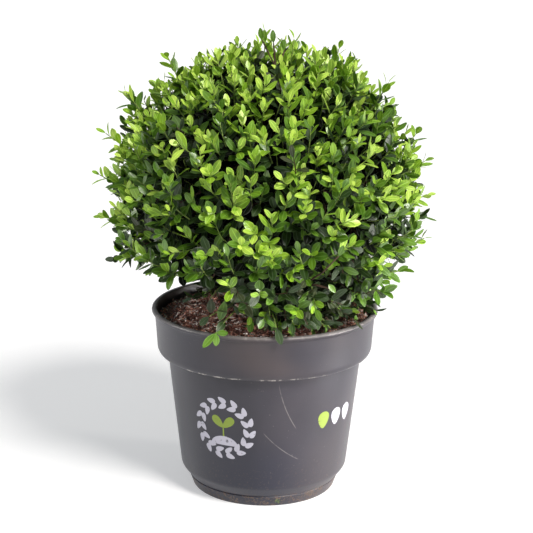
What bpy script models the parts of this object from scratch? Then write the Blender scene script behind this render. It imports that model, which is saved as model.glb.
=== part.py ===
"""A clipped ball of Japanese holly in its nursery pot, as an assembly of separate solids.

Run with: blender --background --python part.py

Metres, +Z up. The origin is the centre of the pot's underside, on the ground, and the side
that faces -Y is the front. The crown is divided into masses by flat planes through its centre.
Each mass is a small core with twigs and leaves that stand out of it, fused into one body, and
hangs on the tip of its own bough. All of the boughs leave one short trunk.
"""

import math
import random

import bmesh
import bpy
from mathutils import Matrix, Vector

CLEARANCE = 0.0003  # gap kept between two solids that touch
MERGE = 0.00001  # merge distance of modifiers and welds
SEED = 26

# Pot: a turned shell with a deep collar, a rolled rim and a stepped foot.
POT_HEIGHT = 0.2134
POT_SEGMENTS = 36
WALL = 0.0022
RIM_RADIUS = 0.130
BEAD_HEIGHT = 0.0058
BEAD_DEPTH = 0.0034
COLLAR_HEIGHT = 0.0519
COLLAR_TOP_RADIUS = 0.1264
COLLAR_FOOT_RADIUS = 0.1240
COLLAR_ROUND = 0.0090
CREASE_RADIUS = 0.1195
BODY_TOP_RADIUS = 0.1117
BODY_FOOT_RADIUS = 0.0968
CHAMFER_TOP = 0.0240
CHAMFER_FOOT = 0.0135
FOOT_TOP_RADIUS = 0.0874
FOOT_RADIUS = 0.0830
FLOOR_THICKNESS = 0.0025
CHANNEL_DEPTH = 0.0030  # of the ring-shaped channel in the underside that holds the drain holes
FOOT_RING_WIDTH = 0.0075
DISC_RADIUS = 0.040
DRAIN_HOLES = 6
DRAIN_RADIUS = 0.0055
DRAIN_CIRCLE = 0.058

# Potting soil: fills the pot to a little below the rim, and is mounded round the trunk.
SOIL_EDGE_HEIGHT = 0.2000
SOIL_MOUND = 0.0060
SOIL_SEGMENTS = 28
TRUNK_SEAT_RADIUS = 0.022

# Crown: a ball that leaf tips reach, flattened at the top and full at its lower sides.
CROWN_CENTRE = Vector((0.001, 0.0, 0.357))
CROWN_RADIUS = 0.183
CROWN_RISE = 0.162
CROWN_DROP = 0.164
UPPER_FULLNESS = 2.0  # exponent of the outline: 2 is an ellipse, more is nearer to a square
LOWER_FULLNESS = 3.0
MASS_SWELL = 0.035  # how much further a mass reaches at its middle than at its edges
CORE_SHARE = 0.85  # of the crown's reach
CORE_FOOT_SHARE = 0.50  # of the crown's reach, where a core starts
HEART_SHARE = 0.61  # of the crown's reach, where a mass's twigs spread from
HOLLOW_SHARE = 0.42  # of the crown's reach, left free for the boughs
LIMB_ZONE_FOOT = 0.026  # radius kept free about the trunk at the soil
LIMB_ZONE_TOP = 0.074  # the same at the middle of the crown
MASS_GAP = 0.0016  # from a dividing plane to a mass, on each side
CORE_GAP = 0.0030  # the same for a core
MASS_RINGS = (
    # name, count, elevation of the middles, azimuth of the first
    ("crown_top", 1, 90.0, 0.0),
    ("crown_upper", 4, 36.0, 45.0),
    ("crown_side", 6, -14.0, 30.0),
)
SOIL_CLEARANCE = 0.010
RIM_CLEARANCE = 0.004
NOTCH_AZIMUTH = 214.0  # the crown's underside is higher on this side, and shows the soil
NOTCH_WIDTH = 46.0
NOTCH_HEIGHT = 0.040

# Shoots that stand out past the clipped outline: azimuth, elevation, share of the crown's reach
SPRIGS = (
    (262.0, 84.0, 1.12),
    (325.0, 78.0, 1.09),
    (190.0, 52.0, 1.12),
    (185.0, 33.0, 1.10),
    (182.0, 17.0, 1.09),
    (180.0, 2.0, 1.09),
    (183.0, -12.0, 1.07),
    (355.0, 4.0, 1.09),
    (2.0, -3.0, 1.09),
    (350.0, 24.0, 1.06),
    (348.0, 41.0, 1.10),
    (20.0, 60.0, 1.07),
    (80.0, 30.0, 1.07),
    (110.0, 5.0, 1.08),
)

# Trunk and boughs
TRUNK_FOOT = SOIL_EDGE_HEIGHT + SOIL_MOUND + CLEARANCE
STEM_FOOT_SHARE = 0.97  # of the hollow's reach, where a mass's stem starts
TRUNK_TIP = CROWN_CENTRE.z + CROWN_RISE * HOLLOW_SHARE * STEM_FOOT_SHARE - CLEARANCE
TRUNK_PATH = (
    # height share, place in x, place in y, radius
    (0.00, 0.0000, 0.0000, 0.0165),
    (0.04, 0.0000, 0.0000, 0.0125),
    (0.11, 0.0010, 0.0004, 0.0102),
    (0.26, 0.0028, 0.0012, 0.0090),
    (0.45, 0.0022, 0.0026, 0.0078),
    (0.64, -0.0006, 0.0018, 0.0062),
    (0.86, CROWN_CENTRE.x, CROWN_CENTRE.y, 0.0038),
    (1.00, CROWN_CENTRE.x, CROWN_CENTRE.y, 0.0026),
)
BOUGH_SPREAD = 0.060  # of the heights at which one ring's boughs leave the trunk
UPPER_BOUGH_HEIGHT = 0.283
SIDE_BOUGH_HEIGHT = 0.232
BOUGH_RADIUS = 0.0046
BOUGH_TIP_RADIUS = 0.0026
TRUNK_SIDES = 8
BOUGH_SIDES = 6
BOUGH_POINTS = 5
BOUGH_TIP_RUN = 0.010  # straight run at a bough's tip
BOUGH_ARCH = 0.006
STEM_SINK = 0.008  # how far a mass's stem runs into its core

# Foliage
SHOOTS_AROUND = 236
SHOOT_MARGIN = 0.010  # from a dividing plane to a shoot's tip
TWIG_SIDES = 3
TWIG_RADIUS = 0.0016
TWIG_TIP_RADIUS = 0.0009
LEAF_LENGTH = 0.036
LEAF_WIDTH = 0.0200
LEAF_WIDEST = 0.58  # of its length from the root
LEAF_THICKNESS = 0.0016
LEAF_ROOT = 0.0022  # how far a leaf's root runs back past its twig's middle
LEAF_FOLD = 0.06  # how far its sides rise, of its length
LEAF_DROOP = 0.10  # how far its tip falls, of its length
LEAVES_PER_SHOOT = 2  # beside the one at the tip
GOLDEN_ANGLE = math.radians(137.5)


# ---------------------------------------------------------------- scene and materials


def clear_scene():
    for obj in list(bpy.data.objects):
        bpy.data.objects.remove(obj)


def new_collection(name):
    collection = bpy.data.collections.new(name)
    bpy.context.scene.collection.children.link(collection)
    return collection


def new_material(name, colour, roughness, metallic=0.0):
    material = bpy.data.materials.new(name)
    material.use_nodes = True
    shader = material.node_tree.nodes["Principled BSDF"]
    shader.inputs["Base Color"].default_value = (*colour, 1.0)
    shader.inputs["Roughness"].default_value = roughness
    shader.inputs["Metallic"].default_value = metallic
    return material


def add_object(name, data, material, collection):
    obj = bpy.data.objects.new(name, data)
    data.materials.append(material)
    collection.objects.link(obj)
    return obj


def object_from_bmesh(name, bm, material, collection):
    mesh = bpy.data.meshes.new(name)
    bm.to_mesh(mesh)
    bm.free()
    return add_object(name, mesh, material, collection)


def mark_as_cutter(obj):
    obj.hide_render = True
    obj.display_type = "WIRE"


def evaluated_mesh(obj):
    """The object's mesh with its modifiers, in the object's own coordinates."""
    graph = bpy.context.evaluated_depsgraph_get()
    return bpy.data.meshes.new_from_object(obj.evaluated_get(graph))


def apply_modifiers(obj):
    bpy.context.view_layer.update()
    mesh = evaluated_mesh(obj)
    obj.modifiers.clear()
    old = obj.data
    obj.data = mesh
    bpy.data.meshes.remove(old)


# ---------------------------------------------------------------- turned shapes


def add_turned(name, profile, segments, material, collection):
    """A solid of revolution. The profile runs up the inner side and down the outer side."""
    mesh = bpy.data.meshes.new(name)
    points = [(radius, 0.0, height) for radius, height in profile]
    edges = [(i, i + 1) for i in range(len(points) - 1)]
    mesh.from_pydata(points, edges, [])
    obj = add_object(name, mesh, material, collection)
    screw = obj.modifiers.new("turn", "SCREW")
    screw.axis = "Z"
    screw.steps = screw.render_steps = segments
    screw.use_merge_vertices = True
    screw.merge_threshold = MERGE
    screw.use_smooth_shade = True
    return obj


def arc(centre, start, end, first_angle, last_angle, steps):
    """Points of an elliptical arc about centre, from start to end radii, both ends included."""
    points = []
    for i in range(steps + 1):
        angle = math.radians(first_angle + (last_angle - first_angle) * i / steps)
        points.append((centre[0] + start * math.cos(angle), centre[1] + end * math.sin(angle)))
    return points


def pot_outside():
    """The pot's outer profile, from the top of the rim down to the ground."""
    crease = POT_HEIGHT - COLLAR_HEIGHT
    bead_middle = (RIM_RADIUS - BEAD_DEPTH, POT_HEIGHT - BEAD_HEIGHT / 2)
    points = arc(bead_middle, BEAD_DEPTH, BEAD_HEIGHT / 2, 90, -70, 3)
    points.append((COLLAR_TOP_RADIUS, POT_HEIGHT - BEAD_HEIGHT * 1.4))
    round_middle = (CREASE_RADIUS, crease + COLLAR_ROUND)
    points += arc(round_middle, COLLAR_FOOT_RADIUS - CREASE_RADIUS, COLLAR_ROUND, 0, -90, 3)
    points.append((BODY_TOP_RADIUS, crease))
    points.append((BODY_FOOT_RADIUS, CHAMFER_TOP + 0.003))
    points.append((BODY_FOOT_RADIUS - 0.0012, CHAMFER_TOP - 0.001))
    points.append((FOOT_TOP_RADIUS, CHAMFER_FOOT))
    points.append((FOOT_RADIUS, 0.0))
    return points


def pot_inside():
    """The pot's inner profile, from the middle of the floor up to the rim."""
    crease = POT_HEIGHT - COLLAR_HEIGHT
    floor = CHANNEL_DEPTH + FLOOR_THICKNESS
    return [
        (0.0, floor),
        (FOOT_RADIUS - WALL, floor),
        (FOOT_TOP_RADIUS - WALL, CHAMFER_FOOT + WALL * 0.5),
        (BODY_FOOT_RADIUS - WALL, CHAMFER_TOP + WALL),
        (BODY_TOP_RADIUS - WALL, crease + WALL),
        (CREASE_RADIUS - WALL * 0.5, crease + WALL),
        (COLLAR_FOOT_RADIUS - WALL, crease + COLLAR_ROUND),
        (COLLAR_TOP_RADIUS - WALL, POT_HEIGHT - WALL * 0.4),
    ]


def pot_underside():
    """From the foot ring inwards: a ring and a disc to stand on, with the drain between."""
    ring = FOOT_RADIUS - FOOT_RING_WIDTH
    slope = CHANNEL_DEPTH * 0.5
    return [
        (ring, 0.0),
        (ring - slope, CHANNEL_DEPTH),
        (DISC_RADIUS + slope, CHANNEL_DEPTH),
        (DISC_RADIUS, 0.0),
        (0.0, 0.0),
    ]


def build_pot(material, collection, cutters):
    profile = pot_inside() + pot_outside() + pot_underside()
    pot = add_turned("pot", profile, POT_SEGMENTS, material, collection)
    bm = bmesh.new()
    for i in range(DRAIN_HOLES):
        angle = 2 * math.pi * (i + 0.5) / DRAIN_HOLES
        place = Matrix.Translation(
            (DRAIN_CIRCLE * math.cos(angle), DRAIN_CIRCLE * math.sin(angle), CHANNEL_DEPTH)
        )
        bmesh.ops.create_cone(
            bm, cap_ends=True, segments=8, radius1=DRAIN_RADIUS, radius2=DRAIN_RADIUS,
            depth=FLOOR_THICKNESS * 4, matrix=place,
        )
    drills = object_from_bmesh("drain_drills", bm, material, cutters)
    mark_as_cutter(drills)
    cut = pot.modifiers.new("drain_holes", "BOOLEAN")
    cut.operation = "DIFFERENCE"
    cut.solver = "EXACT"
    cut.object = drills
    return pot


def soil_height(radius):
    """Height of the soil's surface at a distance from the pot's axis."""
    edge = COLLAR_TOP_RADIUS - WALL
    share = min(1.0, max(0.0, (radius - TRUNK_SEAT_RADIUS) / (edge - TRUNK_SEAT_RADIUS)))
    return SOIL_EDGE_HEIGHT + SOIL_MOUND * (0.5 + 0.5 * math.cos(math.pi * share))


def build_soil(material, collection):
    """The soil stays CLEARANCE inside the pot's inner profile."""
    gap = CLEARANCE * 1.5
    side = [
        (radius - gap, height + (gap if i == 0 else 0.0))
        for i, (radius, height) in enumerate(pot_inside()[1:])
        if height < SOIL_EDGE_HEIGHT
    ]
    edge = COLLAR_TOP_RADIUS - WALL - gap * 2
    surface = [
        (radius, soil_height(radius))
        for radius in (edge * share for share in (0.95, 0.8, 0.6, 0.4))
    ]
    surface.reverse()
    top = [(0.0, soil_height(0.0)), (TRUNK_SEAT_RADIUS, soil_height(0.0))]
    rim = [(edge - 0.0008, SOIL_EDGE_HEIGHT - 0.001)]
    profile = top + surface + rim + side[::-1] + [(0.0, side[0][1])]
    return add_turned("soil", profile, SOIL_SEGMENTS, material, collection)


# ---------------------------------------------------------------- crown geometry


def direction(azimuth, elevation):
    """Unit vector. Azimuth 0 is +X and 270 is the front, both in degrees."""
    a, e = math.radians(azimuth), math.radians(elevation)
    return Vector((math.cos(a) * math.cos(e), math.sin(a) * math.cos(e), math.sin(e)))


def crown_reach(way):
    """Distance from the crown's centre to its plain outline along a unit vector."""
    height, power = CROWN_DROP, LOWER_FULLNESS
    if way.z > 0:
        height, power = CROWN_RISE, UPPER_FULLNESS
    across = math.hypot(way.x, way.y) / CROWN_RADIUS
    return (across ** power + abs(way.z / height) ** power) ** (-1.0 / power)


def mass_table():
    """(name, middle) of each mass."""
    table = []
    for ring, count, elevation, first in MASS_RINGS:
        for i in range(count):
            name = ring if count == 1 else f"{ring}_{i + 1}"
            table.append((name, direction(first + 360.0 * i / count, elevation)))
    return table


def dividing_planes(middle, middles):
    """Normals of the planes through the crown's centre that bound one mass, pointing into it."""
    return [(middle - other).normalized() for other in middles if other is not middle]


def depth_inside(point, planes):
    """How far a point is inside a mass's space: negative if it is outside."""
    offset = point - CROWN_CENTRE
    return min(offset.dot(normal) for normal in planes)


def mass_reach(way, middle):
    """Reach of a mass's outline along a unit vector: it swells at its middle."""
    closeness = max(0.0, way.dot(middle))
    return crown_reach(way) * (1.0 - MASS_SWELL + MASS_SWELL * closeness ** 3)


def lowest_height(point):
    """Height that foliage stays above, over the soil and the rim, and higher at the notch."""
    radius = math.hypot(point.x, point.y)
    azimuth = math.degrees(math.atan2(point.y, point.x)) % 360.0
    away = min(1.0, abs((azimuth - NOTCH_AZIMUTH + 180.0) % 360.0 - 180.0) / NOTCH_WIDTH)
    notch = NOTCH_HEIGHT * (0.5 + 0.5 * math.cos(math.pi * away)) * min(1.0, radius / RIM_RADIUS)
    over_pot = radius > COLLAR_TOP_RADIUS * 0.8
    ground = POT_HEIGHT + RIM_CLEARANCE if over_pot else soil_height(radius) + SOIL_CLEARANCE
    return ground + notch


def limb_zone(height):
    """Radius about the trunk that foliage keeps out of, below the middle of the crown."""
    share = (height - SOIL_EDGE_HEIGHT) / (CROWN_CENTRE.z - SOIL_EDGE_HEIGHT)
    return LIMB_ZONE_FOOT + (LIMB_ZONE_TOP - LIMB_ZONE_FOOT) * min(1.0, max(0.0, share))


def is_free(point):
    """True where foliage may be: clear of the soil, the pot, the trunk and the boughs."""
    if point.z < lowest_height(point):
        return False
    offset = point - CROWN_CENTRE
    if offset.length < HOLLOW_SHARE * crown_reach(offset.normalized()):
        return False
    return point.z > CROWN_CENTRE.z or math.hypot(point.x, point.y) > limb_zone(point.z)


# ---------------------------------------------------------------- limbs


def add_limb(name, path, radii, sides, material, collection):
    """A tapering limb along a path, as a closed mesh with an even number of sides."""
    curve = bpy.data.curves.new(name, "CURVE")
    curve.dimensions = "3D"
    curve.bevel_depth = 1.0
    curve.bevel_resolution = sides // 2 - 2
    curve.use_fill_caps = True
    spline = curve.splines.new("POLY")
    spline.points.add(len(path) - 1)
    for point, place, radius in zip(spline.points, path, radii):
        point.co = (*place, 1.0)
        point.radius = radius
    guide = bpy.data.objects.new(name + "_guide", curve)
    collection.objects.link(guide)
    bpy.context.view_layer.update()
    mesh = evaluated_mesh(guide)
    bpy.data.objects.remove(guide)
    bpy.data.curves.remove(curve)
    bm = bmesh.new()
    bm.from_mesh(mesh)
    bmesh.ops.remove_doubles(bm, verts=bm.verts, dist=MERGE)
    bm.to_mesh(mesh)
    bm.free()
    mesh.name = name
    mesh.materials.clear()
    return add_object(name, mesh, material, collection)


def trunk_points():
    height = TRUNK_TIP - TRUNK_FOOT
    path = [Vector((x, y, TRUNK_FOOT + share * height)) for share, x, y, _ in TRUNK_PATH]
    return path, [radius for _, _, _, radius in TRUNK_PATH]


def trunk_axis(height):
    """The trunk's middle at a height."""
    path, _ = trunk_points()
    for low, high in zip(path, path[1:]):
        if height <= high.z:
            return low.lerp(high, (height - low.z) / (high.z - low.z))
    return path[-1]


def stem_foot(middle):
    """Where a mass's stem meets its bough's tip, at the edge of the hollow."""
    return CROWN_CENTRE + middle * (HOLLOW_SHARE * crown_reach(middle) * STEM_FOOT_SHARE)


def bough_start(name, number, count):
    """The place on the trunk's middle that a mass's bough leaves from."""
    base = UPPER_BOUGH_HEIGHT if "upper" in name else SIDE_BOUGH_HEIGHT
    step = (number * 2) % count + (number * 2) // count
    return trunk_axis(base + BOUGH_SPREAD * step / count)


def bough_path(start, tip, middle):
    """A curve that leaves the trunk outwards and ends square to the mass's stem."""
    shoulder = start + (tip - start) * 0.4 - Vector((0, 0, BOUGH_ARCH))
    elbow = tip - middle * BOUGH_TIP_RUN
    path = []
    for i in range(BOUGH_POINTS):
        share = i / (BOUGH_POINTS - 1)
        first = start.lerp(shoulder, share)
        second = shoulder.lerp(elbow, share)
        path.append(first.lerp(second, share))
    return path + [tip]


def build_limbs(masses, material, collection, cutters):
    path, radii = trunk_points()
    add_limb("trunk", path, radii, TRUNK_SIDES, material, collection)
    wider = [radius + CLEARANCE * 1.5 for radius in radii]
    trunk_cutter = add_limb("trunk_cutter", path, wider, TRUNK_SIDES, material, cutters)
    mark_as_cutter(trunk_cutter)
    counts = {ring: count for ring, count, _, _ in MASS_RINGS}
    for name, middle in masses[1:]:
        ring, _, number = name.rpartition("_")
        start = bough_start(name, int(number) - 1, counts[ring])
        tip = stem_foot(middle) - middle * CLEARANCE
        route = bough_path(start, tip, middle)
        sizes = [
            BOUGH_RADIUS + (BOUGH_TIP_RADIUS - BOUGH_RADIUS) * i / (len(route) - 1)
            for i in range(len(route))
        ]
        bough_name = name.replace("crown", "bough")
        bough = add_limb(bough_name, route, sizes, BOUGH_SIDES, material, collection)
        cut = bough.modifiers.new("seat_on_trunk", "BOOLEAN")
        cut.operation = "DIFFERENCE"
        cut.solver = "EXACT"
        cut.object = trunk_cutter


# ---------------------------------------------------------------- foliage


def frame_along(axis, hint):
    """Rotation matrix whose Z runs along axis and whose X is as close to hint as it can be."""
    z = axis.normalized()
    x = hint - z * hint.dot(z)
    if x.length < 1e-6:
        x = z.orthogonal()
    x.normalize()
    return Matrix((x, z.cross(x), z)).transposed().to_4x4()


def twig_shape(start, end, radius, tip_radius, sides):
    """A straight tapering twig, as a bmesh."""
    bm = bmesh.new()
    axis = end - start
    place = Matrix.Translation((start + end) / 2) @ frame_along(axis, Vector((0.3, 0.2, 1.0)))
    bmesh.ops.create_cone(
        bm, cap_ends=True, segments=sides, radius1=radius, radius2=tip_radius,
        depth=axis.length, matrix=place,
    )
    return bm


def leaf_shape(root, way, face, size):
    """An eight-sided leaf, widest past its middle, as a bmesh. face is its upper side's normal."""
    bm = bmesh.new()
    bmesh.ops.create_uvsphere(bm, u_segments=4, v_segments=2, radius=1.0)
    place = Matrix.Translation(root) @ frame_along(way, face)
    length = LEAF_LENGTH * size
    for vert in bm.verts:
        along = LEAF_WIDEST if abs(vert.co.z) < 0.5 else (vert.co.z + 1.0) / 2.0
        fold = LEAF_FOLD * length if abs(vert.co.y) > 0.5 else 0.0
        droop = LEAF_DROOP * length * along * along
        vert.co = place @ Vector(
            (
                vert.co.x * LEAF_THICKNESS / 2 + fold - droop,
                vert.co.y * LEAF_WIDTH * size / 2,
                along * length - LEAF_ROOT,
            )
        )
    return bm


def stays_inside(bm, planes, reach_limit, middle):
    """True if every corner of a shape is in its mass's space and clear of all limbs."""
    for vert in bm.verts:
        if depth_inside(vert.co, planes) < MASS_GAP or not is_free(vert.co):
            return False
        offset = vert.co - CROWN_CENTRE
        if offset.length > mass_reach(offset.normalized(), middle) * reach_limit:
            return False
    return True


def core_shape(middle, planes):
    """The dense heart of a mass: a piece cut out of a smaller crown by flat planes."""
    bm = bmesh.new()
    turn = Matrix.Rotation(0.37, 4, Vector((1.0, 2.0, 3.0)))
    bmesh.ops.create_icosphere(bm, subdivisions=3, radius=1.0, matrix=turn)
    for vert in bm.verts:
        way = vert.co.normalized()
        vert.co = CROWN_CENTRE + way * mass_reach(way, middle) * CORE_SHARE
    side = CROWN_CENTRE + Vector((middle.x, middle.y, 0.0)) * CROWN_RADIUS
    floor = max(lowest_height(side), POT_HEIGHT) + RIM_CLEARANCE
    cuts = [(CROWN_CENTRE + normal * CORE_GAP, normal) for normal in planes]
    cuts.append((CROWN_CENTRE + middle * CORE_FOOT_SHARE * crown_reach(middle), middle))
    cuts.append((Vector((0.0, 0.0, floor)), Vector((0.0, 0.0, 1.0))))
    for place, normal in cuts:
        everything = bm.verts[:] + bm.edges[:] + bm.faces[:]
        bmesh.ops.bisect_plane(
            bm, geom=everything, plane_co=place, plane_no=normal, clear_inner=True
        )
        open_edges = [edge for edge in bm.edges if edge.is_boundary]
        bmesh.ops.holes_fill(bm, edges=open_edges, sides=0)
    bmesh.ops.remove_doubles(bm, verts=bm.verts, dist=CLEARANCE)
    bmesh.ops.recalc_face_normals(bm, faces=bm.faces)
    return bm


def stem_shape(middle):
    """The stem that carries a mass, from its bough's tip into the core."""
    end = CROWN_CENTRE + middle * (CORE_FOOT_SHARE * crown_reach(middle) + STEM_SINK)
    return twig_shape(stem_foot(middle), end, BOUGH_TIP_RADIUS, BOUGH_TIP_RADIUS * 0.9, BOUGH_SIDES)


def shoot_directions(middle, planes, rng):
    """Directions of one mass's shoots, evenly spread over the crown and clear of its edges."""
    ways = []
    for i in range(SHOOTS_AROUND):
        height = 1.0 - 2.0 * (i + 0.5) / SHOOTS_AROUND
        level = math.sqrt(1.0 - height * height)
        angle = i * GOLDEN_ANGLE
        way = Vector((level * math.cos(angle), level * math.sin(angle), height))
        tip = CROWN_CENTRE + way * mass_reach(way, middle) * 0.9
        if depth_inside(tip, planes) > SHOOT_MARGIN and is_free(tip):
            ways.append((way, rng.uniform(0.965, 1.0)))
    return ways


def grow_shoot(way, reach, heart, middle, planes, rng):
    """The twig and leaves of one shoot, as a list of bmeshes. The twig starts in the core."""
    outline = mass_reach(way, middle) * reach
    tip = CROWN_CENTRE + way * (outline - LEAF_LENGTH * 0.66)
    start = heart.lerp(CROWN_CENTRE + way * outline * 0.66, 0.75)
    axis = (tip - start).normalized()
    twig = twig_shape(start, tip, TWIG_RADIUS, TWIG_TIP_RADIUS, TWIG_SIDES)
    if not stays_inside(twig, planes, reach, middle):
        twig.free()
        return []
    shapes = [twig]
    turn = rng.uniform(0.0, 2 * math.pi)
    side = frame_along(axis, Vector((0, 0, 1)))
    limit = reach + 0.04
    for i in range(LEAVES_PER_SHOOT + 1):
        terminal = i == LEAVES_PER_SHOOT
        angle = turn + i * GOLDEN_ANGLE
        radial = side @ Vector((math.cos(angle), math.sin(angle), 0.0))
        lean = rng.uniform(0.10, 0.30) if terminal else rng.uniform(0.85, 1.25)
        leaf_way = (axis + radial * lean + Vector((0, 0, 0.15))).normalized()
        back = 0.0 if terminal else 0.004 + 0.0075 * (LEAVES_PER_SHOOT - 1 - i)
        root = tip - axis * (back + 0.0012)
        face = (axis - radial * 0.4).normalized() if not terminal else radial
        leaf = leaf_shape(root, leaf_way, face, rng.uniform(0.85, 1.0))
        if stays_inside(leaf, planes, limit, middle):
            shapes.append(leaf)
        else:
            leaf.free()
    return shapes


def build_mass(name, middle, middles, leaf_material, collection, scratch):
    """Joins one mass's core, stem, twigs and leaves into one body."""
    rng = random.Random(f"{SEED}{name}")
    planes = dividing_planes(middle, middles)
    core = core_shape(middle, planes)
    heart = CROWN_CENTRE + middle * crown_reach(middle) * HEART_SHARE
    shapes = [stem_shape(middle)]
    for way, reach in shoot_directions(middle, planes, rng):
        shapes += grow_shoot(way, reach, heart, middle, planes, rng)
    for azimuth, elevation, reach in SPRIGS:
        way = direction(azimuth, elevation)
        if depth_inside(CROWN_CENTRE + way, planes) > 0:
            shapes += grow_shoot(way, reach, heart, middle, planes, rng)
    mass = object_from_bmesh(name, core, leaf_material, collection)
    for i, shape in enumerate(shapes):
        object_from_bmesh(f"{name}_shape_{i}", shape, leaf_material, scratch)
    union = mass.modifiers.new("fuse", "BOOLEAN")
    union.operation = "UNION"
    union.operand_type = "COLLECTION"
    union.solver = "MANIFOLD"
    union.collection = scratch
    apply_modifiers(mass)
    for obj in list(scratch.objects):
        bpy.data.objects.remove(obj)
    keep_largest_body(mass)
    return mass


def keep_largest_body(obj):
    """Drops loose scraps and the walls of sealed hollows."""
    bm = bmesh.new()
    bm.from_mesh(obj.data)
    left = set(bm.faces)
    bodies = []
    while left:
        front = [left.pop()]
        body = list(front)
        while front:
            face = front.pop()
            for edge in face.edges:
                for other in edge.link_faces:
                    if other in left:
                        left.discard(other)
                        front.append(other)
                        body.append(other)
        bodies.append(body)
    bodies.sort(key=len)
    loose = [face for body in bodies[:-1] for face in body]
    bmesh.ops.delete(bm, geom=loose, context="FACES")
    bm.to_mesh(obj.data)
    bm.free()


def main():
    clear_scene()
    plant = new_collection("potted_japanese_holly")
    cutters = new_collection("cutters")
    scratch = new_collection("shapes_to_fuse")
    pot_plastic = new_material("pot_plastic", (0.115, 0.112, 0.125), 0.45)
    soil_peat = new_material("soil_peat", (0.045, 0.024, 0.016), 0.95)
    bark = new_material("bark", (0.085, 0.060, 0.045), 0.85)
    leaf_green = new_material("leaf_green", (0.110, 0.235, 0.035), 0.45)
    masses = mass_table()
    middles = [middle for _, middle in masses]
    build_pot(pot_plastic, plant, cutters)
    build_soil(soil_peat, plant)
    build_limbs(masses, bark, plant, cutters)
    for name, middle in masses:
        build_mass(name, middle, middles, leaf_green, plant, scratch)


main()
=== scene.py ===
import random
from math import atan2, cos, degrees, exp, hypot, pi, radians, sin, sqrt

import bpy
import numpy as np
from mathutils import Matrix, Vector, noise


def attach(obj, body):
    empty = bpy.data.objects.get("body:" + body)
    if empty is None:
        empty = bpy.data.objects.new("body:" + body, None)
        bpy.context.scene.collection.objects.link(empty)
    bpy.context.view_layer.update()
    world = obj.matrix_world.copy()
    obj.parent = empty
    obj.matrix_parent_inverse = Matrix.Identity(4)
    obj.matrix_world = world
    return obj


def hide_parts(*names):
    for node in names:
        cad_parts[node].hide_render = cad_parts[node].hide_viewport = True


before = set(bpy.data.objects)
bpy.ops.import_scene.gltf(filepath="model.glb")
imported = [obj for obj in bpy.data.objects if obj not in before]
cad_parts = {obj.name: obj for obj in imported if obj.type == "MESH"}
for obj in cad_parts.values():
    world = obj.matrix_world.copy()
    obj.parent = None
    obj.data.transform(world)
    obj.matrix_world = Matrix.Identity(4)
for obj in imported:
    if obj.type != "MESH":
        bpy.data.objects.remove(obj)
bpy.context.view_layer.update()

random.seed(26)
nodeNames = sorted(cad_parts)
print("frame loaded:", len(nodeNames), "solids")


# small helpers for objects and meshes


def deselectAll():
    if bpy.context.object and bpy.context.object.mode != "OBJECT":
        bpy.ops.object.mode_set(mode="OBJECT")
    bpy.ops.object.select_all(action="DESELECT")


def selectOnly(obj):
    deselectAll()
    obj.select_set(True)
    bpy.context.view_layer.objects.active = obj


def applyModifiers(obj):
    selectOnly(obj)
    for modifier in list(obj.modifiers):
        bpy.ops.object.modifier_apply(modifier=modifier.name)


def settle(obj):
    # the place goes into the mesh, and the object stands at the origin
    selectOnly(obj)
    bpy.ops.object.transform_apply(location=True, rotation=True, scale=True)


def startPiece(name):
    # names the primitive that was just added
    piece = bpy.context.object
    piece.name = piece.data.name = name
    settle(piece)
    return piece


def joinInto(name, objects):
    deselectAll()
    for obj in objects:
        obj.select_set(True)
    bpy.context.view_layer.objects.active = objects[0]
    if len(objects) > 1:
        bpy.ops.object.join()
    joined = bpy.context.object
    joined.name = joined.data.name = name
    return joined


def editAll(kind):
    # edit mode in a select mode, with everything selected
    bpy.ops.object.mode_set(mode="EDIT")
    bpy.ops.mesh.select_mode(type=kind)
    bpy.ops.mesh.select_all(action="SELECT")


def editOutside(obj, radius):
    # edit mode with only the vertices outside a radius selected
    editAll("VERT")
    bpy.ops.mesh.select_all(action="DESELECT")
    bpy.ops.object.mode_set(mode="OBJECT")
    for vertex in obj.data.vertices:
        vertex.select = hypot(vertex.co.x, vertex.co.y) > radius
    bpy.ops.object.mode_set(mode="EDIT")


def drawRing(move, scale, centre):
    # draws the selected ring or cap out, and makes it narrower or wider
    bpy.ops.mesh.extrude_region_move(TRANSFORM_OT_translate={"value": move})
    bpy.ops.transform.resize(value=scale, center_override=centre)


def endEdit():
    bpy.ops.mesh.select_all(action="SELECT")
    bpy.ops.mesh.normals_make_consistent(inside=False)
    bpy.ops.object.mode_set(mode="OBJECT")


def addToScene(name, data):
    obj = bpy.data.objects.new(name, data)
    bpy.context.collection.objects.link(obj)
    return obj


def paint(obj, material):
    obj.data.materials.clear()
    obj.data.materials.append(material)


def finishPiece(obj, material, replaced=()):
    paint(obj, material)
    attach(obj, "root")
    if replaced:
        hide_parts(*replaced)


def meshFromArrays(name, points, corners, starts):
    # many small things as one mesh; starts holds each face's first corner
    mesh = bpy.data.meshes.new(name)
    mesh.vertices.add(len(points))
    mesh.vertices.foreach_set("co", np.asarray(points, dtype=np.float32).ravel())
    mesh.loops.add(len(corners))
    mesh.loops.foreach_set("vertex_index", np.asarray(corners, dtype=np.int32))
    mesh.polygons.add(len(starts))
    mesh.polygons.foreach_set("loop_start", np.asarray(starts, dtype=np.int32))
    mesh.polygons.foreach_set("use_smooth", np.ones(len(starts), dtype=bool))
    mesh.update(calc_edges=True)
    mesh.validate()
    return addToScene(name, mesh)


def repeatFaces(faces, pointCount, copies):
    # corner and start arrays of one shape's faces, repeated for a number of copies
    corners = np.concatenate([np.array(face) for face in faces])
    sizes = np.array([len(face) for face in faces])
    starts = np.concatenate([[0], np.cumsum(sizes)[:-1]])
    step = np.arange(copies)
    allCorners = (corners[None, :] + (step * pointCount)[:, None]).ravel()
    allStarts = (starts[None, :] + (step * len(corners))[:, None]).ravel()
    return allCorners, allStarts


# shader maths written as plain expressions


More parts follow.
